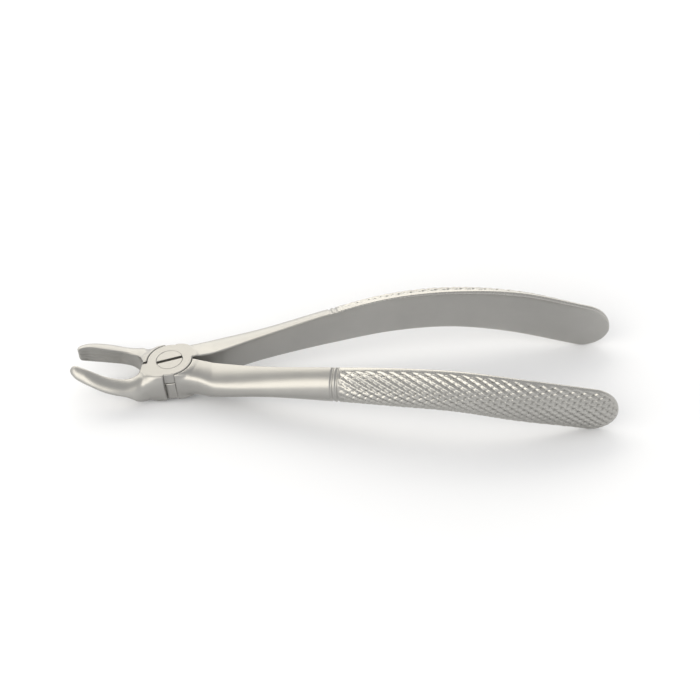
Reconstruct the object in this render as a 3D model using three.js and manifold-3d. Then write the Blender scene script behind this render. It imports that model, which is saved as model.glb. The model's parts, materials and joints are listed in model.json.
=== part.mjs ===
// Extraction forceps: two crossed steel levers that turn on a slotted pivot screw.
// Millimetres, +Z up. The pieces are drawn in the joint frame: origin on the pivot axis at the
// middle of the joint's height, +X towards the handles, +Y towards the upper lever's handle and
// +Z out of the joint's top face. The finished group is leant and moved so that the forceps lie
// on the plane Z = 0 with the origin under the middle of their box.

import * as THREE from "three";
import { mergeVertices } from "three/addons/utils/BufferGeometryUtils.js";
import Module from "manifold-3d";

const wasm = await Module();
wasm.setup();

// ---- driving dimensions -------------------------------------------------------------------

const LEAN = THREE.MathUtils.degToRad(8.44); // lean of the pivot axis towards the beaks at rest

// joint
const JOINT_TOP = 5.2; // flat top face, the underside is the same distance below
const LAP_PLANE = 1.3; // height where the upper disc meets the lower one
const DISC_RADIUS = 7.2; // half-lapped discs that turn on each other
const BOSS_RADIUS = 9.1; // full-height bodies on both sides of the discs
const BOSS_HALF_WIDTH = 8.1; // the bodies' sides are ground flat
const HALF_CROTCH = 0.55; // half of the gap between the levers beside the discs
const CLEARANCE = 0.3; // running gap between neighbouring pieces
const UPPER_BODY_ANGLE = THREE.MathUtils.degToRad(75.5); // sector that each body fills
const LOWER_BODY_ANGLE = THREE.MathUtils.degToRad(79.5);
const SECTOR_END = THREE.MathUtils.degToRad(144); // bearing past which a body has nothing to trim

// pivot screw
const HEAD_RADIUS = 4.2;
const HEAD_DEPTH = 2;
const SHANK_RADIUS = 2.8;
const SLOT_WIDTH = 1.3;
const SLOT_DEPTH = 1.3;
const SLOT_TURN = THREE.MathUtils.degToRad(11);

// Lever stations: place along X, distance of the inner face from the midplane, height of the
// centre line, height of the section, outward bulge, and squareness of the bulge (2 = ellipse).
const HANDLE_STATIONS = [
  { x: 1, inner: 0.55, centre: 0, height: 10.1, bulge: 7.9, square: 3.4 },
  { x: 7.5, inner: 0.55, centre: -0.2, height: 9.5, bulge: 9.3, square: 2.8 },
  { x: 14, inner: 2.2, centre: -0.6, height: 9, bulge: 9.6, square: 2.4 },
  { x: 30, inner: 7.1, centre: -0.5, height: 9.7, bulge: 7.7, square: 2 },
  { x: 50, inner: 12.1, centre: -0.45, height: 11.9, bulge: 7.1, square: 2 },
  { x: 70, inner: 16.2, centre: -1, height: 13.8, bulge: 7.5, square: 2 },
  { x: 90, inner: 18.5, centre: -3.7, height: 14.8, bulge: 7.8, square: 2 },
  { x: 110, inner: 20, centre: -9.6, height: 16.5, bulge: 6.5, square: 2 },
  { x: 130.9, inner: 19.2, centre: -17.5, height: 16.7, bulge: 4.7, square: 2 },
];
const HANDLE_STEP = 4; // spacing of the lofted sections
const HANDLE_END = 9; // length of the rounded end past the last station
const RING_GROOVES = [51.2, 52.75]; // turned grooves where the knurled grip starts
const GROOVE_HALF_WIDTH = 0.5;
const GROOVE_DEPTH = 0.35;

const UPPER_BEAK_STATIONS = [
  { x: -1, inner: 0.55, centre: 0, height: 10.1, bulge: 7.9, square: 3.4 },
  { x: -7.5, inner: 0.55, centre: 0.2, height: 9.8, bulge: 8.3, square: 2.6 },
  { x: -9, inner: 2.6, centre: 0.4, height: 9.2, bulge: 7.2, square: 2.5 },
  { x: -11, inner: 4.6, centre: 0.6, height: 7.8, bulge: 5.9, square: 2.6 },
  { x: -13.6, inner: 5.4, centre: 1.4, height: 6, bulge: 5.2, square: 2.4 },
  { x: -17, inner: 5.7, centre: 2.65, height: 5.5, bulge: 4.9, square: 2.2 },
  { x: -20.9, inner: 5.5, centre: 4.3, height: 5.4, bulge: 4.8, square: 2 },
  { x: -25.7, inner: 4.5, centre: 6.9, height: 5.4, bulge: 4.8, square: 2 },
  { x: -29.2, inner: 3.1, centre: 8.15, height: 4.9, bulge: 4.6, square: 2 },
];
const LOWER_BEAK_STATIONS = [
  { x: -1, inner: 0.55, centre: 0, height: 10.1, bulge: 7.9, square: 3.4 },
  { x: -7.5, inner: 0.55, centre: -0.1, height: 9.3, bulge: 9.4, square: 2.8 },
  { x: -9, inner: 2.6, centre: 0.4, height: 8, bulge: 8.2, square: 2.5 },
  { x: -11, inner: 5.2, centre: 0.8, height: 6.6, bulge: 5.8, square: 2.2 },
  { x: -13.6, inner: 6.4, centre: 1.5, height: 5.5, bulge: 4.9, square: 2 },
  { x: -20.9, inner: 5.7, centre: 4.6, height: 5.7, bulge: 5.1, square: 2 },
  { x: -25.7, inner: 4.8, centre: 6.8, height: 6, bulge: 4.2, square: 2 },
  { x: -28.9, inner: 3.2, centre: 8.4, height: 4.6, bulge: 3.4, square: 2 },
];
const BEAK_STEP = 1.5;
const POINT_LENGTH = 2.7; // rounded point that the upper lever's beak has past its last station
const POINT_DROP = 0.4; // how much lower the point is than the last station's centre

const FACE_STEPS = 4; // section points across the flat inner face
const BULGE_STEPS = 16; // section points round the outer face
const ROUND_STEPS = 64; // sides of the joint's round faces
const END_STEPS = 6; // sections of a rounded end
const END_TURN = THREE.MathUtils.degToRad(84); // a flat of a few tenths is left at the tip
const END_BULGE_POWER = 0.65; // the bulge shrinks later than the height

// ---- solids -------------------------------------------------------------------------------

function toSolid(geometry) {
  const bare = geometry.clone();
  bare.deleteAttribute("normal");
  bare.deleteAttribute("uv");
  const merged = mergeVertices(bare, 1e-5);
  return new wasm.Manifold(
    new wasm.Mesh({
      numProp: 3,
      vertProperties: new Float32Array(merged.attributes.position.array),
      triVerts: new Uint32Array(merged.index.array),
    }),
  );
}

function toGeometry(solid) {
  const mesh = solid.getMesh();
  const geometry = new THREE.BufferGeometry();
  geometry.setAttribute("position", new THREE.BufferAttribute(mesh.vertProperties, 3));
  geometry.setIndex(new THREE.BufferAttribute(mesh.triVerts, 1));
  geometry.computeVertexNormals();
  return geometry;
}

// Upright cylinder about the pivot axis between two heights.
function drum(radius, bottom, top) {
  const geometry = new THREE.CylinderGeometry(radius, radius, top - bottom, ROUND_STEPS);
  geometry.rotateX(Math.PI / 2);
  geometry.translate(0, 0, (bottom + top) / 2);
  return toSolid(geometry);
}

// Upright wedge with its edge on the pivot axis: the open sector past the end of a body.
// turn is 0 beside the handle's body and a half turn beside the beak's.
function openSector(bodyAngle, turn) {
  const reach = 3 * BOSS_RADIUS;
  const outline = new THREE.Shape();
  outline.moveTo(0, 0);
  for (const bearing of [turn + bodyAngle, turn + SECTOR_END]) {
    outline.lineTo(reach * Math.cos(bearing), reach * Math.sin(bearing));
  }
  outline.closePath();
  const geometry = new THREE.ExtrudeGeometry(outline, { depth: 6 * JOINT_TOP, bevelEnabled: false });
  geometry.translate(0, 0, -3 * JOINT_TOP);
  return toSolid(geometry);
}

// Full-height body of the joint: a half drum on one side of the crotch gap.
function boss(side) {
  const reach = 3 * BOSS_RADIUS;
  const width = BOSS_HALF_WIDTH - HALF_CROTCH;
  const block = new THREE.BoxGeometry(reach, width, 3 * JOINT_TOP);
  block.translate((side * reach) / 2, side * (width / 2 + HALF_CROTCH), 0);
  return drum(BOSS_RADIUS, -JOINT_TOP, JOINT_TOP).intersect(toSolid(block));
}

// ---- lofts --------------------------------------------------------------------------------

function stationReader(stations) {
  const keys = ["inner", "centre", "height", "bulge", "square"];
  const ordered = [...stations].sort((a, b) => a.x - b.x);
  const places = ordered.map((station) => station.x);
  const values = ordered.flatMap((station) => keys.map((key) => station[key]));
  const curve = new THREE.CubicInterpolant(places, values, keys.length);
  return (x) => {
    const result = curve.evaluate(x);
    return { x, ...Object.fromEntries(keys.map((key, index) => [key, result[index]])) };
  };
}

function grooveDepthAt(x) {
  const depths = RING_GROOVES.map((place) => 1 - Math.abs(x - place) / GROOVE_HALF_WIDTH);
  return GROOVE_DEPTH * Math.max(0, ...depths);
}

// Points of one section: a flat inner face and a bulging outer one. The section leans with
// the centre line's slope, and side says on which side of the midplane it lies.
function sectionPoints(station, slope, side) {
  const points = [];
  const half = station.height / 2;
  const add = (across, outward) => {
    const x = station.x - across * Math.sin(slope);
    const z = station.centre + across * Math.cos(slope);
    points.push(new THREE.Vector3(x, side * (station.inner + outward), z));
  };
  for (let step = 0; step < FACE_STEPS; step += 1) {
    add(half - (station.height * step) / FACE_STEPS, 0);
  }
  const power = 2 / station.square;
  for (let step = 0; step < BULGE_STEPS; step += 1) {
    const angle = -Math.PI / 2 + (Math.PI * step) / BULGE_STEPS;
    const rise = Math.sign(Math.sin(angle)) * Math.abs(Math.sin(angle)) ** power;
    add(half * rise, station.bulge * Math.abs(Math.cos(angle)) ** power);
  }
  return points;
}

// Sections that close off a lever's end as a quarter ellipse, run being the way to its tip.
function roundedEnd(base, run, slope, side) {
  const sections = [];
  for (let step = 1; step <= END_STEPS; step += 1) {
    const turn = (END_TURN * step) / END_STEPS;
    const station = {
      ...base,
      x: base.x + run.x * Math.sin(turn),
      centre: base.centre + run.z * Math.sin(turn),
      height: base.height * Math.cos(turn),
      bulge: base.bulge * Math.cos(turn) ** END_BULGE_POWER,
    };
    sections.push(sectionPoints(station, slope, side));
  }
  return sections;
}

// Closed skin over a row of sections, with a fan at each end.
function loftGeometry(sections) {
  const count = sections[0].length;
  const points = sections.flat();
  const faces = [];
  for (let row = 0; row + 1 < sections.length; row += 1) {
    for (let column = 0; column < count; column += 1) {
      const a = row * count + column;
      const b = row * count + ((column + 1) % count);
      faces.push(a, b, b + count, a, b + count, a + count);
    }
  }
  for (const row of [0, sections.length - 1]) {
    const centre = new THREE.Vector3();
    sections[row].forEach((point) => centre.addScaledVector(point, 1 / count));
    const hub = points.push(centre) - 1;
    for (let column = 0; column < count; column += 1) {
      const a = row * count + column;
      const b = row * count + ((column + 1) % count);
      faces.push(...(row === 0 ? [hub, b, a] : [hub, a, b]));
    }
  }
  const geometry = new THREE.BufferGeometry().setFromPoints(points);
  geometry.setIndex(faces);
  return geometry;
}

function loftSolid(sections) {
  const solid = toSolid(loftGeometry(sections));
  return solid.volume() > 0 ? solid : toSolid(loftGeometry(sections.map((row) => row.toReversed())));
}

function handle() {
  const first = HANDLE_STATIONS[0].x;
  const last = HANDLE_STATIONS.at(-1).x;
  const read = stationReader(HANDLE_STATIONS);
  const places = [];
  for (let x = first; x < last; x += HANDLE_STEP) {
    places.push(x);
  }
  for (const place of RING_GROOVES) {
    places.push(place - GROOVE_HALF_WIDTH, place, place + GROOVE_HALF_WIDTH);
  }
  places.push(last);
  places.sort((a, b) => a - b);
  const slopeAt = (x) => {
    const ahead = Math.min(x + 0.5, last);
    return Math.atan(read(ahead).centre - read(ahead - 1).centre);
  };
  const sections = places.map((x) => {
    const station = read(x);
    station.height -= 2 * grooveDepthAt(x);
    station.bulge -= grooveDepthAt(x);
    return sectionPoints(station, slopeAt(x), 1);
  });
  const slope = slopeAt(last);
  const run = { x: HANDLE_END * Math.cos(slope), z: HANDLE_END * Math.sin(slope) };
  return loftSolid([...sections, ...roundedEnd(read(last), run, slope, 1)]);
}

function beak(pointed) {
  const stations = pointed ? UPPER_BEAK_STATIONS : LOWER_BEAK_STATIONS;
  const first = stations[0].x;
  const last = stations.at(-1).x;
  const read = stationReader(stations);
  const sections = [];
  const steps = Math.round((first - last) / BEAK_STEP);
  for (let step = 0; step <= steps; step += 1) {
    sections.push(sectionPoints(read(first + ((last - first) * step) / steps), 0, -1));
  }
  if (pointed) {
    sections.push(...roundedEnd(read(last), { x: -POINT_LENGTH, z: -POINT_DROP }, 0, -1));
  }
  return loftSolid(sections);
}

// ---- pieces -------------------------------------------------------------------------------

// One forged lever with its handle on the +Y side and its beak on the -Y side. disc and pocket
// are the bottom and top of its own half-lapped disc and of the space for the other lever's.
function leverSolid({ bodyAngle, pointed, disc, pocket, bore }) {
  const bodies = handle().add(beak(pointed)).add(boss(1)).add(boss(-1));
  const trimmed = [0, Math.PI].reduce((rest, turn) => rest.subtract(openSector(bodyAngle, turn)), bodies);
  const joined = trimmed.add(drum(DISC_RADIUS, ...disc));
  const lapped = joined.subtract(drum(DISC_RADIUS + CLEARANCE, ...pocket));
  return lapped.subtract(bore);
}

function upperLever() {
  const bore = drum(SHANK_RADIUS + CLEARANCE, -2 * JOINT_TOP, 2 * JOINT_TOP);
  const counterbore = drum(HEAD_RADIUS + CLEARANCE, JOINT_TOP - HEAD_DEPTH - CLEARANCE, 2 * JOINT_TOP);
  return toGeometry(
    leverSolid({
      bodyAngle: UPPER_BODY_ANGLE,
      pointed: true,
      disc: [LAP_PLANE + CLEARANCE / 2, JOINT_TOP],
      pocket: [-2 * JOINT_TOP, LAP_PLANE + CLEARANCE / 2],
      bore: bore.add(counterbore),
    }),
  );
}

// The lower lever is the other hand: its handle lies on the -Y side.
function lowerLever() {
  const solid = leverSolid({
    bodyAngle: LOWER_BODY_ANGLE,
    pointed: false,
    disc: [-JOINT_TOP, LAP_PLANE - CLEARANCE / 2],
    pocket: [LAP_PLANE - CLEARANCE / 2, 2 * JOINT_TOP],
    bore: drum(SHANK_RADIUS + CLEARANCE, -2 * JOINT_TOP, 2 * JOINT_TOP),
  });
  const geometry = toGeometry(solid);
  geometry.scale(1, -1, 1);
  geometry.index.array.reverse();
  geometry.computeVertexNormals();
  return geometry;
}

function pivotScrew() {
  const head = drum(HEAD_RADIUS, JOINT_TOP - HEAD_DEPTH, JOINT_TOP);
  const shank = drum(SHANK_RADIUS, -JOINT_TOP, JOINT_TOP - HEAD_DEPTH / 2);
  const slot = new THREE.BoxGeometry(3 * HEAD_RADIUS, SLOT_WIDTH, 2 * SLOT_DEPTH);
  slot.rotateZ(SLOT_TURN);
  slot.translate(0, 0, JOINT_TOP);
  return toGeometry(head.add(shank).subtract(toSolid(slot)));
}

// ---- assembly -----------------------------------------------------------------------------

const satinSteel = { color: 0xb9b5ac, roughness: 0.38, metalness: 1 };
const brushedSteel = { color: 0xcfcabd, roughness: 0.45, metalness: 1 };

function piece(name, geometry, finish) {
  const mesh = new THREE.Mesh(geometry, new THREE.MeshStandardMaterial(finish));
  mesh.name = name;
  return mesh;
}

function forceps() {
  const joint = new THREE.Group();
  joint.add(piece("upper_lever", upperLever(), satinSteel));
  joint.add(piece("lower_lever", lowerLever(), satinSteel));
  joint.add(piece("pivot_screw", pivotScrew(), brushedSteel));
  joint.rotation.y = -LEAN;
  const assembly = new THREE.Group();
  assembly.add(joint);
  assembly.updateMatrixWorld(true);
  const box = new THREE.Box3().setFromObject(assembly, true);
  const middle = box.getCenter(new THREE.Vector3());
  joint.position.set(-middle.x, -middle.y, -box.min.z);
  return assembly;
}

export default forceps();
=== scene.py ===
# Extraction forceps: two crossed satin steel levers with knurled grips, and their pivot screw.
# The levers and the screw are drawn in millimetres in the joint frame, as in the CAD: origin on
# the pivot axis at the middle of the joint's height, X towards the handles, Y towards the upper
# lever's handle, Z out of the joint's top face. place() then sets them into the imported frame.

import json
import math

import bmesh
import bpy
import numpy as np
from mathutils import Matrix, Vector


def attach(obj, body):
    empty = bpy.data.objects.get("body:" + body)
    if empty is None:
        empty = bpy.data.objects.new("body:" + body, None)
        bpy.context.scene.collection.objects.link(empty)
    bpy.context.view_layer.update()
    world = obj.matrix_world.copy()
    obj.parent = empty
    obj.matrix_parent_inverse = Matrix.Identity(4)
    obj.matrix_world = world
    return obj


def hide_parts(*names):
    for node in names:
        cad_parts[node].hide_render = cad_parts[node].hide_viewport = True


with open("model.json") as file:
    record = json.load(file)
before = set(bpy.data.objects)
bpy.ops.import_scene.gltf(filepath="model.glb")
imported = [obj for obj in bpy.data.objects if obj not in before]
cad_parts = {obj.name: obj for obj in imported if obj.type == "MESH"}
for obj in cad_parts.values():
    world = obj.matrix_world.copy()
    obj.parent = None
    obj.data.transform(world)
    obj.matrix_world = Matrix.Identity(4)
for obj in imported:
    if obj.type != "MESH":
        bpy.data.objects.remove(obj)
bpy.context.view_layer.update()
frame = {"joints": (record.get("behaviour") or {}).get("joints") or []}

METRES = 0.001  # the shapes below are in millimetres

# ---- driving dimensions, millimetres ------------------------------------------------------

# joint
JOINT_TOP = 5.2  # height of the flat top, the underside is the same distance below
DISC_RADIUS = 7.2
BOSS_RADIUS = 9.1
BOSS_HALF_WIDTH = 7.45  # of the bodies at the pivot, their sides splay outwards from there
BOSS_SPLAY = 0.15
HALF_CROTCH = 0.55  # half of the gap between the levers beside the discs
POCKET_GAP = 0.15  # between a disc and the wall of the pocket it turns in
LAP_BOTTOM = 1.2  # top of the lower disc
LAP_TOP = 1.4  # underside of the upper disc
UPPER_BODY_ANGLE = math.radians(75.5)  # sector that each body fills
LOWER_BODY_ANGLE = math.radians(79.5)
WALL_FILLET = 0.4  # between a disc and its own lever's wall: small, so the other lever clears it
RIM_EDGE = 0.8  # rounding of the bodies' top rim
UPPER_RIM = (8.6, 0.3)  # radius past which the bodies' top falls away, and its slope there
LOWER_RIM = (7.3, 0.35)
SHOULDER_START = -4  # along X, where the rim starts to round off more and more towards the beak
SHOULDER_SLOPE = 0.9
SHOULDER_SIDE = -3  # along Y, where that starts, and the distance over which it grows to its full
SHOULDER_RUN = 3
ARM_START = 10.5  # radius past which the flats lift away from the arms, and how steeply
ARM_LIFT = 1.6

# pivot screw
HEAD_RADIUS = 4.2
HEAD_DEPTH = 2
SHANK_RADIUS = 2.8
SCREW_GAP = 0.03  # round the head, under it and round the shank
SLOT_WIDTH = 1.1
SLOT_DEPTH = 1.3
SLOT_TURN = math.radians(11)

# edge rounding
EDGE = 0.3  # cut edges
SHARP_EDGE = 0.1  # the screw's edges and its bore
FACE_EDGE = 0.5  # between a lever's flat inner face and its bulge, at the joint
UPPER_BEAK_EDGE = 1.2  # the same on the upper beak
END_FACE_EDGE = 1.5  # the same at the handle's end, reached over a run from a place along X
FACE_EDGE_START = 60
FACE_EDGE_RUN = 50
ROOT_BLEND = 2.4  # fillet between the joint's bodies and the beaks
HANDLE_BLEND = 0.6  # the same at the handles
POINT_BLEND = 3.6  # rounding of the upper lever's beak point
SQUARE_BLEND = 1  # rounding of the lower lever's square beak end

# Stations of the same kind as the CAD's: place along X, inner face's distance from the midplane,
# height of the centre line, height of the section, outward bulge and squareness of the bulge.
STATION_KEYS = ("inner", "centre", "height", "bulge", "square")
HANDLE_STATIONS = (
    (1, 0.55, 0.1, 10.6, 7, 3.4),
    (7.5, 0.55, 0, 9.9, 8.6, 3),
    (10.5, 1.2, -0.3, 9.5, 9.2, 2.8),
    (14, 2.2, -0.6, 9.1, 9.6, 2.5),
    (30, 7.1, -0.5, 9.7, 7.7, 2),
    (50, 12.1, -0.45, 11.9, 7.1, 2),
    (70, 16.2, -1, 13.8, 7.5, 2),
    (90, 18.5, -3.7, 14.8, 7.8, 2),
    (110, 20, -9.6, 16.5, 6.5, 2),
    (130.9, 19.2, -17.5, 16.7, 4.7, 2),
)
UPPER_BEAK_STATIONS = (
    (-29.2, 3.1, 8.15, 4.9, 4.9, 2),
    (-25.7, 4.5, 6.9, 5.4, 5.35, 2),
    (-20.9, 5.5, 4.3, 5.4, 5.6, 2.3),
    (-17, 5.7, 2.65, 5.5, 5.7, 2.6),
    (-13.6, 5.4, 1.4, 6, 5.7, 2.8),
    (-11, 4.6, 0.6, 7.8, 5.9, 2.6),
    (-9, 2.6, -0.1, 10, 6.9, 2.8),
    (-7.5, 0.55, 0.1, 10.8, 8.3, 3.2),
    (-1, 0.55, 0.2, 10.8, 7.4, 3.4),
)
LOWER_BEAK_STATIONS = (
    (-28.9, 3.2, 8.4, 4.6, 3.4, 2),
    (-25.7, 4.8, 6.8, 6, 4.2, 2),
    (-20.9, 5.7, 4.6, 5.7, 5.1, 2),
    (-13.6, 6.4, 1.5, 5.5, 4.9, 2),
    (-11, 5.2, 0.8, 6.6, 5.8, 2.2),
    (-9, 2.6, 0.4, 8, 8.2, 2.5),
    (-7.5, 0.55, -0.1, 9.3, 9.4, 2.8),
    (-1, 0.55, 0, 10.1, 7.9, 3.4),
)
BELT_DROP = 0.5  # how far the upper beak is widest below its centre, as a share of its height
UNDERSIDE_RISE = 0.37  # slope of the upper beak's underside
UNDERSIDE_EDGE = 1.2
TURN_START = -7.5  # distance along X past which the upper beak is turned up so
TURN_RUN = 7.5
STATION_STEP = 0.05  # spacing of the tables that the stations are drawn out to
SLOPE_ROWS = 20  # rows over which a table's first slope is measured
END_ROWS = 200  # rows of the handle's rounded end
HANDLE_END = 9  # length of the rounded end, along the slope
END_BULGE_POWER = 0.65  # the bulge shrinks later than the height
BEAK_POINT = -31.9  # ends of the upper and the lower lever's beak
BEAK_SQUARE = -28.95

# tooth side of the beaks
TROUGH_START = -12.5  # along X, where it begins, and the distance in which it reaches full depth
TROUGH_RUN = 4
TROUGH_DEPTH = 0.7
SERRATION_PITCH = 1.15
SERRATION_DEPTH = 0.07

# grip
GRIP_GROOVES = (52.3, 53.85)  # turned ring grooves, at the inner face
GRIP_GROOVE_HALF_WIDTH = 0.5
GRIP_GROOVE_DEPTH = 0.35
GRIP_GROOVE_FADE = 0.5  # distance from the inner face's edges over which they run out
KNURL_START = 54.6
KNURL_PITCH = 1.93
KNURL_TURN = math.radians(30)  # between the grooves and the handle's length
KNURL_DEPTH = 0.47
KNURL_LAND = 0.12  # share of the pitch that stays as a flat-topped ridge
KNURL_CROSS_DEPTH = 0.22
KNURL_CROSS_LAND = 0.6
KNURL_MARGIN = 1.6  # plain band along the inner face's edges
KNURL_FADE = 0.8
KNURL_RUN_IN = 6  # length over which the knurl reaches its full depth
KNURL_FIRST_SHARE = 0.5  # of that depth where it starts
TILT_START = 16  # the handle's rows start square to X and then turn square to its inner face
TILT_RUN = 14

# mesh
CELL = 0.214  # grid of the joint and beaks
SCREW_CELL = 0.11
LOFT_START = 16  # where the gridded mesh hands over to the lofted handle
NET_BOX = ((-33.5, -14, -6), (LOFT_START, 13.5, 11.5))
SCREW_BOX = ((-4.6, -4.6, -5.6), (4.6, 4.6, 5.6))
PROBE = 0.01  # step for measuring a field's slope
SETTLING_STEPS = 4
HALVINGS = 22
SHANK_STEP = 0.8  # spacing of the loft's rows on the plain shank, the ring grooves and the knurl
RING_STEP = 0.11
KNURL_STEP = 0.225
OUTER_COLUMNS = 96  # faces in a row round the outer face and over the inner one
INNER_COLUMNS = 15
OUTER_RAYS = 300  # the dense rows that the even ones are taken from
INNER_RAYS = 100
RAY_REACH = 30.0
CORE_SHARE = 0.4  # of the bulge, where the rays start
LAST_ROW_TURN = math.radians(88.5)  # of the rounded end's quarter ellipse; the tip is a flat face

# where each finish of a lever lies
FLAT_FACING = 0.97  # least |z| of the normals of the joint's flats
FLAT_DEPTH = 0.1
FLAT_REACH = 10
GROUND_FACING = 0.93  # the same inwards for the handle's inner face, from a place along X
GROUND_START = 6
TROUGH_FACING = 0.75

# ---- looks ----------------------------------------------------------------------------------

BLASTED_TONE = (0.385, 0.378, 0.36)
GROUND_TONE = (0.43, 0.423, 0.405)
TURNED_TONE = (0.348, 0.342, 0.326)
GRIP_TONE = (0.42, 0.412, 0.39)
NOISE_RANGE = (0.25, 0.75)  # where most of a noise texture's values lie
MOTTLE_SCALE = 70.0  # slow changes of tone and gloss, per metre, and their size
MOTTLE = 0.06
GLOSS_DRIFT = 0.02
GLOSS_GRAIN = 0.05
GRAIN_STRETCH = 0.06  # along the lever, of the ground faces' lines
ARC_STRETCH = 0.0004  # round the pivot, of the turned faces' arcs, metres per radian
GROOVE_SHADE_CUTS = (0.7, 1.6)  # depths of cut, in knurl depths, where the painted shade in the grooves starts and is at its full
GROOVE_SHADE_SHARE = 0.45  # of the grip's tone that is left there under the painted shade

FLOOR_SIZE = 6
FLOOR_TONE = (0.803, 0.815, 0.843)
FLOOR_ROUGHNESS = 0.9
HORIZON = (1.12, 1.12, 1.12)
OVERHEAD = (0.72, 0.72, 0.72)
HORIZON_SPAN = (0.05, 0.75)  # heights between which the one turns into the other
WARM = (1, 0.952, 0.85)
# Name, azimuth and elevation in degrees, distance, width and height in metres, and radiance.
SOFTBOXES = (
    ("front", -42, 37, 1.6, 2.3, 1.1, 2.05),
    ("back", -156, 44, 1.8, 2.3, 0.8, 1.95),
    ("back_low", 175, 14, 1.8, 3, 0.9, 1.28),
)

# Camera: angles, then metres from the pivot backwards, to the right and up, then millimetres.
CAMERA_ELEVATION = math.radians(41.55)
CAMERA_YAW = math.radians(-1.895)
CAMERA_ROLL = math.radians(1.12)
CAMERA_DISTANCE = 1.156233
CAMERA_SHIFT_RIGHT = 0.056711
CAMERA_SHIFT_UP = 0.006902
CAMERA_LENS = 186.65


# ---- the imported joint's place -------------------------------------------------------------

hinge = frame["joints"][0]
pivot = Vector(hinge["pos_m"])
joint_z = Vector(hinge["axis"]).normalized()
joint_y = Vector((0, 1, 0))
joint_x = joint_y.cross(joint_z)
JOINT_MATRIX = Matrix.Translation(pivot) @ Matrix((joint_x, joint_y, joint_z)).transposed().to_4x4()


# ---- camera -------------------------------------------------------------------------------


def make_camera():
    back = Vector(
        (
            math.sin(CAMERA_YAW) * math.cos(CAMERA_ELEVATION),
            -math.cos(CAMERA_YAW) * math.cos(CAMERA_ELEVATION),
            math.sin(CAMERA_ELEVATION),
        )
    )
    level = Vector((math.cos(CAMERA_YAW), math.sin(CAMERA_YAW), 0))
    upright = back.cross(level)
    right = level * math.cos(CAMERA_ROLL) + upright * math.sin(CAMERA_ROLL)
    up = back.cross(right)
    data = bpy.data.cameras.new("camera")
    data.lens = CAMERA_LENS
    data.clip_end = 20
    camera = bpy.data.objects.new("camera", data)
    bpy.context.scene.collection.objects.link(camera)
    turn = Matrix((right, up, back)).transposed().to_4x4()
    spot = pivot + back * CAMERA_DISTANCE + right * CAMERA_SHIFT_RIGHT + up * CAMERA_SHIFT_UP
    camera.matrix_world = Matrix.Translation(spot) @ turn
    bpy.context.scene.camera = camera


# ---- fields: negative inside, in millimetres near their surface -----------------------------


def smooth_max(a, b, blend):
    near = np.maximum(blend - np.abs(a - b), 0) / blend
    return np.maximum(a, b) + near * near * blend / 4


def smooth_min(a, b, blend):
    return -smooth_max(-a, -b, blend)


def smooth_step(value):
    share = np.clip(value, 0, 1)
    return share * share * (3 - 2 * share)


def station_tables(stations):
    """Each station value drawn out along X as a smooth curve, and the slopes of two of them."""
    places = np.array([station[0] for station in stations], float)
    fine = np.arange(places[0], places[-1] + STATION_STEP / 2, STATION_STEP)
    left = np.clip(np.searchsorted(places, fine, side="right") - 1, 0, len(places) - 2)
    gap = places[left + 1] - places[left]
    share = (fine - places[left]) / gap
    tables = {"x": fine}
    for column, key in enumerate(STATION_KEYS, start=1):
        values = np.array([station[column] for station in stations], float)
        slopes = np.gradient(values, places)
        slopes[1:-1] = (values[2:] - values[:-2]) / (places[2:] - places[:-2])
        tables[key] = (
            (2 * share**3 - 3 * share**2 + 1) * values[left]
            + (share**3 - 2 * share**2 + share) * gap * slopes[left]
            + (3 * share**2 - 2 * share**3) * values[left + 1]
            + (share**3 - share**2) * gap * slopes[left + 1]
        )
    for key in ("inner", "centre"):
        tables[key + "_slope"] = np.gradient(tables[key], fine)
    return tables


def carried_on(tables, start):
    """The tables carried on, straight, to a place before their first station."""
    added = np.arange(start, tables["x"][0], STATION_STEP)
    row = SLOPE_ROWS
    carried = {}
    for key, values in tables.items():
        slope = (values[row] - values[0]) / (tables["x"][row] - tables["x"][0])
        carried[key] = values[0] + slope * (added - tables["x"][0])
    return {key: np.concatenate([carried[key], tables[key]]) for key in tables}


def with_rounded_end(tables):
    """The handle's tables carried on past the last station, shrinking as a quarter ellipse."""
    last = tables["x"][-1]
    slope = tables["centre_slope"][-1]
    reach = HANDLE_END / math.hypot(1, slope)
    turn = np.linspace(0, math.pi / 2, END_ROWS)[1:]
    added = reach * np.sin(turn)
    carried = {key: np.full(len(turn), values[-1]) for key, values in tables.items()}
    carried["x"] = last + added
    carried["centre"] = carried["centre"] + slope * added
    carried["height"] = carried["height"] * np.cos(turn)
    carried["bulge"] = carried["bulge"] * np.cos(turn) ** END_BULGE_POWER
    return {key: np.concatenate([tables[key], carried[key]]) for key in tables}


LAST_STATION = HANDLE_STATIONS[-1][0]
HANDLE = with_rounded_end(station_tables(HANDLE_STATIONS))
UPPER_BEAK = carried_on(station_tables(UPPER_BEAK_STATIONS), BEAK_POINT - 1)
LOWER_BEAK = station_tables(LOWER_BEAK_STATIONS)


def read(tables, key, x):
    return np.interp(x, tables["x"], tables[key])


def section_field(tables, place, across, outward, face, edge, belt=0):
    """Field of a section: across its height, outward from the inner face, which face trims.

    belt is how far the section is widest below its centre, as a share of its height. Nothing is
    let down to quite zero, so that the ratios stay finite at a lever's very end.
    """
    height = np.maximum(read(tables, "height", place), 2e-3)
    across = across + belt * height
    half = height * np.where(across > 0, 0.5 + belt, np.maximum(0.5 - belt, 0.1))
    bulge = np.maximum(read(tables, "bulge", place), 1e-3)
    power = read(tables, "square", place)
    level = np.abs(across) + 1e-4
    rise = np.maximum(outward, 0)
    ratio = ((level / half) ** power + (rise / bulge) ** power) ** (1 / power)
    size = np.hypot(level, rise)
    return smooth_max(size - size / ratio, face, edge)


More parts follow.
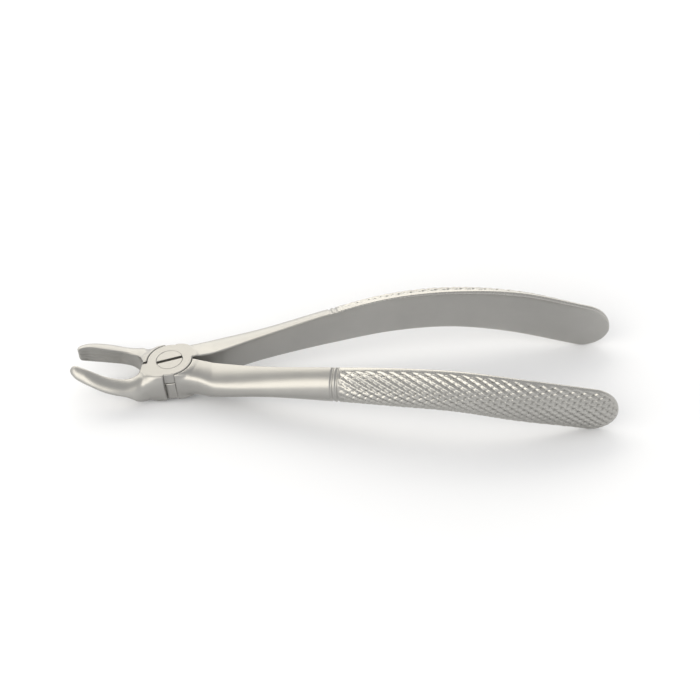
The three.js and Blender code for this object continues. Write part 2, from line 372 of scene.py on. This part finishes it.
def handle_field(x, y, z):
    """A handle on the +Y side. Its sections lean with the centre line's slope."""
    place = x
    for _ in range(3):
        lean = (z - read(HANDLE, "centre", place)) * read(HANDLE, "centre_slope", place)
        place = x + lean
    slope = read(HANDLE, "centre_slope", place)
    across = (z - read(HANDLE, "centre", place)) * np.sqrt(1 + slope * slope)
    outward = y - read(HANDLE, "inner", place)
    widening = smooth_step((place - FACE_EDGE_START) / FACE_EDGE_RUN)
    edge = FACE_EDGE + (END_FACE_EDGE - FACE_EDGE) * widening
    return section_field(HANDLE, place, across, outward, -outward, edge)


def beak_field(x, y, z, upper):
    """A beak on the -Y side, with a serrated trough on its tooth side. The upper one is pointed."""
    beak = UPPER_BEAK if upper else LOWER_BEAK
    across = z - read(beak, "centre", x)
    outward = -y - read(beak, "inner", x)
    half = read(beak, "height", x) / 2
    hollow = np.maximum(1 - (across / half) ** 2, 0)
    ridges = SERRATION_DEPTH * np.cos(2 * math.pi * across / SERRATION_PITCH) * np.sqrt(hollow)
    fade = smooth_step((TROUGH_START - x) / TROUGH_RUN)
    trough = fade * (TROUGH_DEPTH * hollow + ridges)
    if upper:
        turned = smooth_step((TURN_START - x) / TURN_RUN)
        belt = BELT_DROP * turned
        bar = section_field(beak, x, across, outward, trough - outward, UPPER_BEAK_EDGE, belt)
        underside = UNDERSIDE_RISE * turned * outward - half - across
        bar = smooth_max(bar, underside, UNDERSIDE_EDGE)
        return smooth_max(bar, BEAK_POINT - x, POINT_BLEND)
    bar = section_field(beak, x, across, outward, trough - outward, FACE_EDGE)
    return smooth_max(bar, BEAK_SQUARE - x, SQUARE_BLEND)


def boss_field(x, y, z, upper):
    """The joint's full-height bodies. The rim falls away past a radius and beside the beak."""
    radius = np.hypot(x, y)
    side = np.abs(y) - BOSS_HALF_WIDTH - BOSS_SPLAY * np.abs(x)
    boss = smooth_max(radius - BOSS_RADIUS, side, ROOT_BLEND)
    boss = smooth_max(boss, -JOINT_TOP - z, EDGE)
    start, slope = UPPER_RIM if upper else LOWER_RIM
    top = z - JOINT_TOP + slope * np.maximum(radius - start, 0)
    beside_beak = smooth_step((SHOULDER_SIDE - y) / SHOULDER_RUN)
    shoulder = SHOULDER_SLOPE * np.maximum(SHOULDER_START - x, 0) * beside_beak
    return smooth_max(boss, top, RIM_EDGE + shoulder)


def screw_hole(radius, z, upper):
    """The screw's hole, with the seat of its head in the upper lever."""
    bore = radius - SHANK_RADIUS - SCREW_GAP
    if not upper:
        return bore
    seat = np.maximum(radius - HEAD_RADIUS - SCREW_GAP, JOINT_TOP - HEAD_DEPTH - SCREW_GAP - z)
    return np.minimum(bore, seat)


def lever_field(x, y, z, upper):
    """One whole lever, its handle on the +Y side and its beak on the -Y side."""
    radius = np.hypot(x, y)
    boss = boss_field(x, y, z, upper)
    body_angle = UPPER_BODY_ANGLE if upper else LOWER_BODY_ANGLE
    window = y * math.cos(body_angle) - x * math.sin(body_angle)
    handle_side = smooth_min(handle_field(x, y, z), boss, HANDLE_BLEND)
    handle_side = smooth_max(handle_side, window, EDGE)
    handle_side = smooth_max(handle_side, read(HANDLE, "inner", x) - y, EDGE)
    beak_side = smooth_min(beak_field(x, y, z, upper), boss, ROOT_BLEND)
    beak_side = smooth_max(beak_side, -window, EDGE)
    beak_side = smooth_max(beak_side, HALF_CROTCH + y, EDGE)
    body = np.minimum(handle_side, beak_side)
    body = smooth_min(body, radius - DISC_RADIUS, WALL_FILLET)
    flats = np.abs(z) - JOINT_TOP - ARM_LIFT * np.maximum(radius - ARM_START, 0)
    body = smooth_max(body, flats, EDGE)
    lap = z - LAP_TOP if upper else LAP_BOTTOM - z
    pocket = np.maximum(radius - DISC_RADIUS - POCKET_GAP, lap)
    body = smooth_max(body, -pocket, EDGE)
    return smooth_max(body, -screw_hole(radius, z, upper), SHARP_EDGE)


def screw_field(x, y, z):
    radius = np.hypot(x, y)
    head = smooth_max(radius - HEAD_RADIUS, JOINT_TOP - HEAD_DEPTH - z, SHARP_EDGE)
    shank = smooth_max(radius - SHANK_RADIUS, -JOINT_TOP - z, SHARP_EDGE)
    solid = smooth_max(np.minimum(head, shank), z - JOINT_TOP, SHARP_EDGE)
    across = np.abs(y * math.cos(SLOT_TURN) - x * math.sin(SLOT_TURN)) - SLOT_WIDTH / 2
    slot = smooth_max(across, JOINT_TOP - SLOT_DEPTH - z, SHARP_EDGE)
    return smooth_max(solid, -slot, SHARP_EDGE)


# ---- meshing --------------------------------------------------------------------------------

CELL_CORNERS = [(i, j, k) for i in (0, 1) for j in (0, 1) for k in (0, 1)]


def settle(field, points, reach):
    """Moves points onto the field's surface by a few Newton steps, none longer than reach."""
    for _ in range(SETTLING_STEPS):
        value = field(*points.T)
        gradient = np.empty_like(points)
        for axis in range(3):
            offset = np.zeros(3)
            offset[axis] = PROBE
            ahead = field(*(points + offset).T)
            behind = field(*(points - offset).T)
            gradient[:, axis] = (ahead - behind) / (2 * PROBE)
        square = np.maximum((gradient**2).sum(1), 1e-3)
        step = np.clip(value / square, -reach, reach)
        points = points - gradient * step[:, None]
    return points


def part_diagonals(values):
    """Turns over the weakest corner of each grid square whose inside corners only touch crosswise.

    Such a square would leave four faces on one edge of the net.
    """
    for axis in (0, 1, 2, 0, 1, 2):
        second, third = (axis + 1) % 3, (axis + 2) % 3
        inside = values < 0
        beside = np.roll(inside, -1, second)
        above = np.roll(inside, -1, third)
        opposite = np.roll(beside, -1, third)
        crosswise = (inside == opposite) & (beside == above) & (inside != beside)
        right, up = np.eye(3, dtype=int)[[second, third]]
        for spot in np.argwhere(crosswise):
            if np.any(spot + right + up >= values.shape):
                continue
            around = (spot, spot + right, spot + up, spot + right + up)
            corners = [tuple(corner) for corner in around]
            weakest = min(corners, key=lambda corner: abs(values[corner]))
            values[weakest] = -math.copysign(1e-6, values[weakest])


def crossed_cells(inside):
    """Which cells of the grid the surface crosses: those with some corners inside and some out."""
    rows, columns, layers = (count - 1 for count in inside.shape)
    held = sum(
        inside[i : rows + i, j : columns + j, k : layers + k].astype(np.int8)
        for i, j, k in CELL_CORNERS
    )
    return (held > 0) & (held < len(CELL_CORNERS))


def crossing_means(values, cells):
    """For each cell, the mean of the places where its edges cross the surface, in grid steps."""
    total = np.zeros((len(cells), 3))
    hits = np.zeros(len(cells))
    for axis in range(3):
        step = np.eye(3, dtype=int)[axis]
        for corner in CELL_CORNERS:
            if corner[axis]:
                continue
            start = cells + corner
            first = values[tuple(start.T)]
            second = values[tuple((start + step).T)]
            hit = (first < 0) != (second < 0)
            share = np.where(hit, first / np.where(hit, first - second, 1), 0)
            total += (start + step * share[:, None]) * hit[:, None]
            hits += hit
    return total / hits[:, None]


def net_quads(inside, number):
    """A quad round each grid edge that crosses the surface, through its four cells' vertices."""
    counts = inside.shape
    quads = []
    for axis in range(3):
        second_axis, third_axis = (axis + 1) % 3, (axis + 2) % 3
        ahead = np.roll(inside, -1, axis)
        change = np.argwhere(inside != ahead)
        whole = change[:, axis] < counts[axis] - 1
        for other in (second_axis, third_axis):
            whole &= (change[:, other] > 0) & (change[:, other] < counts[other] - 1)
        change = change[whole]
        ring = []
        for back_second, back_third in ((1, 1), (0, 1), (0, 0), (1, 0)):
            around = change.copy()
            around[:, second_axis] -= back_second
            around[:, third_axis] -= back_third
            ring.append(number[tuple(around.T)])
        ring = np.stack(ring, 1)
        leaving = inside[tuple(change.T)]
        quads.append(np.where(leaving[:, None], ring, ring[:, ::-1]))
    return np.concatenate(quads)


def surface_net(field, low, high, cell):
    """Quads over the field's zero surface, one vertex in each cell that the surface crosses."""
    low = np.array(low, float)
    counts = np.round((np.array(high) - low) / cell).astype(int) + 1
    axes = [low[axis] + cell * np.arange(counts[axis]) for axis in range(3)]
    values = field(*np.meshgrid(*axes, indexing="ij"))
    part_diagonals(values)
    inside = values < 0
    crossed = crossed_cells(inside)
    number = np.full(crossed.shape, -1)
    number[crossed] = np.arange(crossed.sum())
    points = low + cell * crossing_means(values, np.argwhere(crossed))
    return settle(field, points, cell / 2), net_quads(inside, number)


def loft_places():
    """Where the handle's rows lie: wide apart on the shank and close on the grip."""
    rings = GRIP_GROOVES[0] - 3 * GRIP_GROOVE_HALF_WIDTH
    shank = np.arange(LOFT_START + SHANK_STEP / 2, rings, SHANK_STEP)
    beads = np.arange(rings, KNURL_START, RING_STEP)
    grip = np.arange(KNURL_START, LAST_STATION, KNURL_STEP)
    turns = np.linspace(0, LAST_ROW_TURN, round(HANDLE_END * math.pi / 2 / KNURL_STEP))
    end = LAST_STATION + (HANDLE["x"][-1] - LAST_STATION) * np.sin(turns)
    return np.concatenate([shank, beads, grip, end])


def even_points(dense, shares):
    """Points at the given shares of each dense row's length."""
    lengths = np.linalg.norm(np.diff(dense, axis=1), axis=2)
    along = np.concatenate([np.zeros((len(dense), 1)), np.cumsum(lengths, axis=1)], axis=1)
    rows = np.empty((len(dense), len(shares), 3))
    for row, (travel, line) in enumerate(zip(along, dense)):
        for axis in range(3):
            rows[row, :, axis] = np.interp(shares * travel[-1], travel, line[:, axis])
    return rows


def rays_to_surface(centres, directions):
    """Where rays from inside the handle leave it, by halving."""
    near = np.zeros(directions.shape[:2])
    far = np.full(directions.shape[:2], RAY_REACH)
    for _ in range(HALVINGS):
        middle = (near + far) / 2
        spots = centres[:, None] + directions * middle[:, :, None]
        outside = handle_field(spots[..., 0], spots[..., 1], spots[..., 2]) > 0
        far = np.where(outside, middle, far)
        near = np.where(outside, near, middle)
    return centres[:, None] + directions * near[:, :, None]


def handle_rows(places):
    """Plain rings of the handle at the given places: round the outer face, back over the inner."""
    inner_slope = read(HANDLE, "inner_slope", places)
    centre_slope = read(HANDLE, "centre_slope", places)
    half = read(HANDLE, "height", places) / 2
    depth = CORE_SHARE * read(HANDLE, "bulge", places)
    inner = read(HANDLE, "inner", places)
    centre = read(HANDLE, "centre", places)
    tilt = inner_slope * smooth_step((places - TILT_START) / TILT_RUN)
    outward = np.stack([-tilt, np.ones_like(tilt), np.zeros_like(tilt)], 1)
    outward /= np.linalg.norm(outward, axis=1)[:, None]
    upward = np.stack([-centre_slope, np.zeros_like(tilt), np.ones_like(tilt)], 1)
    upward /= np.linalg.norm(upward, axis=1)[:, None]
    centres = np.stack([places, inner, centre], 1) + outward * depth[:, None]
    corner = np.arctan2(half, -depth)[:, None]
    outer_turn = corner * np.linspace(-1, 1, OUTER_RAYS)
    inner_turn = corner + (2 * math.pi - 2 * corner) * np.linspace(0, 1, INNER_RAYS)
    rings = []
    for turn in (outer_turn, inner_turn):
        cosine, sine = np.cos(turn)[:, :, None], np.sin(turn)[:, :, None]
        rings.append(rays_to_surface(centres, outward[:, None] * cosine + upward[:, None] * sine))
    outer = even_points(rings[0], np.linspace(0, 1, OUTER_COLUMNS + 1))
    inner_shares = (1 - np.cos(math.pi * np.linspace(0, 1, INNER_COLUMNS + 1))) / 2
    inner_face = even_points(rings[1], inner_shares)
    return np.concatenate([outer, inner_face[:, 1:-1]], axis=1)


def row_normals(rows):
    """Outward unit normals of the rings' surface."""
    along = np.gradient(rows, axis=0)
    around = np.roll(rows, -1, axis=1) - np.roll(rows, 1, axis=1)
    normals = np.cross(around, along)
    lengths = np.maximum(np.linalg.norm(normals, axis=2, keepdims=True), 1e-9)
    return normals / lengths


def groove(phase, land):
    """Depth, from 0 to 1, of a V groove that repeats once each unit of phase."""
    from_ridge = np.abs(2 * (phase - np.floor(phase)) - 1)
    return np.clip((from_ridge - land) / (1 - land), 0, 1)


def grip_depth(rows, places):
    """How far each point of the outer face is cut back for the ring grooves and the knurl."""
    outer = rows[:, : OUTER_COLUMNS + 1]
    steps = np.linalg.norm(np.diff(outer, axis=1), axis=2)
    around = np.concatenate([np.zeros((len(rows), 1)), np.cumsum(steps, axis=1)], axis=1)
    width = around[:, -1:]
    crest = OUTER_COLUMNS // 2
    travel = np.linalg.norm(np.diff(outer[:, crest], axis=0), axis=1)
    along = np.concatenate([[0], np.cumsum(travel)])[:, None]
    height = around - width / 2
    run, rise = math.sin(KNURL_TURN), math.cos(KNURL_TURN)
    main_phase = (along * run + height * rise) / KNURL_PITCH
    cross_phase = (along * run - height * rise) / KNURL_PITCH
    main = KNURL_DEPTH * groove(main_phase, KNURL_LAND)
    cross = KNURL_CROSS_DEPTH * groove(cross_phase, KNURL_CROSS_LAND)
    edge = np.minimum(around, width - around)
    knurl = (main + cross) * smooth_step((edge - KNURL_MARGIN) / KNURL_FADE)
    grown = smooth_step((places - KNURL_START) / KNURL_RUN_IN)
    run_in = KNURL_FIRST_SHARE + (1 - KNURL_FIRST_SHARE) * grown
    knurl = knurl * (run_in * (places > KNURL_START))[:, None]
    rings = sum(
        np.maximum(1 - np.abs(places - place) / GRIP_GROOVE_HALF_WIDTH, 0) for place in GRIP_GROOVES
    )
    ring_cut = GRIP_GROOVE_DEPTH * np.sqrt(rings)[:, None]
    return knurl + ring_cut * smooth_step(edge / GRIP_GROOVE_FADE)


def handle_mesh():
    """Points, faces and depths of cut of the lofted handle, and the columns in a row."""
    places = loft_places()
    rows = handle_rows(places)
    depth = np.zeros(rows.shape[:2])
    depth[:, : OUTER_COLUMNS + 1] = grip_depth(rows, places)
    rows = rows - row_normals(rows) * depth[:, :, None]
    count = rows.shape[1]
    column = np.arange(count)
    beside = (column + 1) % count
    start = count * np.arange(len(rows) - 1)[:, None]
    quads = np.stack(
        [start + column, start + beside, start + count + beside, start + count + column], 2
    )
    points = rows.reshape(-1, 3)
    return points, quads.reshape(-1, 4), depth.reshape(-1), count


def to_mesh(name, points, faces):
    mesh = bpy.data.meshes.new(name)
    mesh.from_pydata(points.tolist(), [], faces.tolist())
    mesh.update()
    return mesh


def boundary_near(bm, low, high):
    """The open edges whose middles lie between two places along X."""
    found = []
    for edge in bm.edges:
        middle = (edge.verts[0].co.x + edge.verts[1].co.x) / 2
        if edge.is_boundary and low < middle < high:
            found.append(edge)
    return found


def lever_mesh(name, upper):
    """The gridded joint and beak, joined to the lofted handle as one closed mesh.

    The fields have the handle on the +Y side, so the lower lever's mesh is mirrored.
    """

    def field(x, y, z):
        return lever_field(x, y, z, upper)

    joint_points, joint_quads = surface_net(field, *NET_BOX, CELL)
    loft_points, loft_quads, cuts, columns = handle_mesh()
    points = np.concatenate([joint_points, loft_points])
    faces = np.concatenate([joint_quads, loft_quads + len(joint_points)])
    mesh = to_mesh(name, points, faces)
    cut = mesh.attributes.new("cut", "FLOAT", "POINT")
    cuts = np.concatenate([np.zeros(len(joint_points)), cuts])
    cut.data.foreach_set("value", cuts / KNURL_DEPTH)
    bm = bmesh.new()
    bm.from_mesh(mesh)
    seam = boundary_near(bm, LOFT_START - 1, LOFT_START + 1)
    bmesh.ops.bridge_loops(bm, edges=seam)
    tip = boundary_near(bm, LAST_STATION, math.inf)
    bmesh.ops.holes_fill(bm, edges=tip, sides=columns + 1)
    side = 1 if upper else -1
    bmesh.ops.scale(bm, vec=(1, side, 1), verts=bm.verts)
    bmesh.ops.recalc_face_normals(bm, faces=bm.faces)
    for face in bm.faces:
        face.material_index = lever_finish(face, side)
    bm.to_mesh(mesh)
    bm.free()
    for material in LEVER_FINISHES:
        mesh.materials.append(material)
    return mesh


def lever_finish(face, side):
    """Which finish a lever's face has. side is 1 for the lever whose handle is at +Y."""
    middle = face.calc_center_median()
    facing_inward = -side * face.normal.y
    level = abs(face.normal.z) > FLAT_FACING and abs(middle.z) > JOINT_TOP - FLAT_DEPTH
    if level and middle.xy.length < FLAT_REACH:
        return TURNED
    if middle.x > GROUND_START and facing_inward > GROUND_FACING:
        return GROUND
    if middle.x > KNURL_START:
        return KNURLED
    if middle.x < TROUGH_START and facing_inward < -TROUGH_FACING:
        return TROUGH
    return BLASTED


def place(name, mesh, body, node, slot):
    """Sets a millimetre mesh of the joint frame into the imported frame, standing for its node."""
    mesh.transform(JOINT_MATRIX @ Matrix.Scale(METRES, 4))
    mesh.polygons.foreach_set("use_smooth", [True] * len(mesh.polygons))
    piece = bpy.data.objects.new(name, mesh)
    bpy.context.scene.collection.objects.link(piece)
    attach(piece, body)
    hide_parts(node)


# ---- materials ------------------------------------------------------------------------------


class Graph:
    """Short names for building a material's nodes."""

    def __init__(self, name):
        self.material = bpy.data.materials.new(name)
        self.material.use_nodes = True
        self.nodes = self.material.node_tree.nodes
        self.links = self.material.node_tree.links
        self.shader = self.nodes["Principled BSDF"]

    def add(self, kind, settings=None, **inputs):
        """A new node. Each input is a number, a colour or another node's output."""
        node = self.nodes.new("ShaderNode" + kind)
        for key, value in (settings or {}).items():
            setattr(node, key, value)
        for key, value in inputs.items():
            self.join(value, node.inputs[key.replace("_", " ")])
        return node

    def join(self, value, socket):
        if isinstance(value, bpy.types.NodeSocket):
            self.links.new(value, socket)
        else:
            socket.default_value = value

    def work(self, kind, operation, *values):
        """A Math or VectorMath node, its inputs given in their order."""
        node = self.add(kind, {"operation": operation})
        for value, socket in zip(values, node.inputs):
            self.join(value, socket)
        return node

    def mix(self, share, first, second):
        """A mix of two colours. Their sockets come after those of the node's other kinds."""
        node = self.add("Mix", {"data_type": "RGBA"})
        self.join(share, node.inputs[0])
        self.join(first, node.inputs[6])
        self.join(second, node.inputs[7])
        return node.outputs[2]

    def spread(self, value, low, high):
        """A noise value stretched to run from low to high."""
        node = self.add("MapRange", Value=value)
        node.inputs["From Min"].default_value = NOISE_RANGE[0]
        node.inputs["From Max"].default_value = NOISE_RANGE[1]
        node.inputs["To Min"].default_value = low
        node.inputs["To Max"].default_value = high
        return node.outputs["Result"]


def dim(color, share):
    return tuple(channel * share for channel in color) + (1,)


def along_handle(graph):
    """Coordinates that stretch fine grain out into lines along the lever."""
    spot = graph.add("TexCoord").outputs["Object"]
    return graph.add("Mapping", Vector=spot, Scale=(GRAIN_STRETCH, 1, 1)).outputs["Vector"]


def round_pivot(graph):
    """Coordinates that stretch fine grain out into arcs round the pivot."""
    spot = graph.add("TexCoord").outputs["Object"]
    arm = graph.work("VectorMath", "SUBTRACT", spot, pivot).outputs["Vector"]
    along, across = (
        graph.work("VectorMath", "DOT_PRODUCT", arm, direction).outputs["Value"]
        for direction in (joint_x, joint_y)
    )
    flat = graph.add("CombineXYZ", X=along, Y=across).outputs["Vector"]
    radius = graph.work("VectorMath", "LENGTH", flat).outputs["Value"]
    turn = graph.work("Math", "ARCTAN2", across, along).outputs["Value"]
    slow_turn = graph.work("Math", "MULTIPLY", turn, ARC_STRETCH).outputs["Value"]
    return graph.add("CombineXYZ", X=radius, Y=slow_turn).outputs["Vector"]


def steel(name, color, roughness, grain, depth, coordinates=None):
    """Bare steel: a grain of so many per metre, so deep, over slow changes of tone and gloss."""
    graph = Graph(name)
    spot = graph.add("TexCoord").outputs["Object"]
    lines = coordinates(graph) if coordinates else spot
    fine = graph.add("TexNoise", Vector=lines, Scale=grain, Detail=4.0).outputs["Fac"]
    slow_noise = graph.add("TexNoise", Vector=spot, Scale=MOTTLE_SCALE, Detail=5.0, Roughness=0.6)
    slow = slow_noise.outputs["Fac"]
    tone = graph.mix(graph.spread(slow, 0, 1), dim(color, 1 - MOTTLE), dim(color, 1 + MOTTLE))
    drift = graph.spread(slow, roughness - GLOSS_DRIFT, roughness + GLOSS_DRIFT)
    gloss = graph.work("Math", "ADD", drift, graph.spread(fine, -GLOSS_GRAIN, GLOSS_GRAIN))
    bump = graph.add("Bump", Height=fine, Distance=depth, Strength=1.0)
    shader = graph.shader
    graph.join(tone, shader.inputs["Base Color"])
    graph.join(gloss.outputs["Value"], shader.inputs["Roughness"])
    graph.join(bump.outputs["Normal"], shader.inputs["Normal"])
    shader.inputs["Metallic"].default_value = 1
    return graph


def knurl_steel():
    """The grip's steel, with painted shade that darkens its grooves more the deeper they are cut.
    """
    graph = steel("knurled_steel", GRIP_TONE, 0.26, 2500.0, 4e-6)
    color_socket = graph.shader.inputs["Base Color"]
    unshaded = color_socket.links[0].from_socket
    # Painted shade: the base colour darkens towards the bottom of the knurl's grooves, standing in
    # for the shadow there.
    cut = graph.add("Attribute", {"attribute_name": "cut"}).outputs["Fac"]
    groove_shade = graph.add("MapRange", Value=cut)
    groove_shade.inputs["From Min"].default_value = GROOVE_SHADE_CUTS[0]
    groove_shade.inputs["From Max"].default_value = GROOVE_SHADE_CUTS[1]
    graph.join(graph.mix(groove_shade.outputs["Result"], unshaded, dim(GRIP_TONE, GROOVE_SHADE_SHARE)), color_socket)
    return graph


# ---- stage ----------------------------------------------------------------------------------


def make_floor():
    bpy.ops.mesh.primitive_plane_add(size=FLOOR_SIZE)
    floor = bpy.context.object
    floor.name = "floor"
    material = bpy.data.materials.new("floor_white")
    material.use_nodes = True
    shader = material.node_tree.nodes["Principled BSDF"]
    shader.inputs["Base Color"].default_value = (*FLOOR_TONE, 1)
    shader.inputs["Roughness"].default_value = FLOOR_ROUGHNESS
    floor.data.materials.append(material)


def make_softbox(name, azimuth, elevation, distance, width, height, radiance):
    """A rectangular light that faces the joint. Azimuth 0 is the camera's side, 90 is +X."""
    data = bpy.data.lights.new(name, "AREA")
    data.shape = "RECTANGLE"
    data.size = width
    data.size_y = height
    data.energy = radiance * math.pi * width * height
    data.color = WARM
    light = bpy.data.objects.new(name, data)
    bpy.context.scene.collection.objects.link(light)
    turn, rise = math.radians(azimuth), math.radians(elevation)
    aim = Vector(
        (math.sin(turn) * math.cos(rise), -math.cos(turn) * math.cos(rise), math.sin(rise))
    )
    light.location = aim * distance
    light.rotation_mode = "QUATERNION"
    light.rotation_quaternion = aim.to_track_quat("Z", "Y")


def make_world():
    """A light tent: brighter round the horizon than overhead."""
    world = bpy.data.worlds.new("tent")
    world.use_nodes = True
    nodes, links = world.node_tree.nodes, world.node_tree.links
    direction = nodes.new("ShaderNodeTexCoord")
    split = nodes.new("ShaderNodeSeparateXYZ")
    ramp = nodes.new("ShaderNodeValToRGB")
    ramp.color_ramp.elements[0].position = HORIZON_SPAN[0]
    ramp.color_ramp.elements[0].color = (*HORIZON, 1)
    ramp.color_ramp.elements[1].position = HORIZON_SPAN[1]
    ramp.color_ramp.elements[1].color = (*OVERHEAD, 1)
    links.new(direction.outputs["Generated"], split.inputs["Vector"])
    links.new(split.outputs["Z"], ramp.inputs["Fac"])
    links.new(ramp.outputs["Color"], nodes["Background"].inputs["Color"])
    bpy.context.scene.world = world


# ---- the object -----------------------------------------------------------------------------

make_camera()
bpy.context.scene.view_settings.view_transform = "Standard"
make_floor()
make_world()
for settings in SOFTBOXES:
    make_softbox(*settings)

BLASTED, TURNED, GROUND, KNURLED, TROUGH = range(5)
LEVER_FINISHES = [
    steel("blasted_steel", BLASTED_TONE, 0.36, 2600.0, 5e-6).material,
    steel("turned_steel", TURNED_TONE, 0.37, 6500.0, 4e-6, round_pivot).material,
    steel("ground_steel", GROUND_TONE, 0.38, 5000.0, 4e-6, along_handle).material,
    knurl_steel().material,
    steel("trough_steel", BLASTED_TONE, 0.42, 2600.0, 6e-6).material,
]
screw_finish = steel("screw_steel", TURNED_TONE, 0.36, 6500.0, 4e-6, round_pivot).material

place(
    "upper_lever_steel",
    lever_mesh("upper_lever_steel", upper=True),
    "upper_half",
    "upper_lever",
    "lever_steel",
)
place(
    "lower_lever_steel",
    lever_mesh("lower_lever_steel", upper=False),
    "lower_half",
    "lower_lever",
    "lever_steel",
)
screw_mesh = to_mesh("pivot_screw_steel", *surface_net(screw_field, *SCREW_BOX, SCREW_CELL))
screw_mesh.materials.append(screw_finish)
place("pivot_screw_steel", screw_mesh, "lower_half", "pivot_screw", "screw_steel")
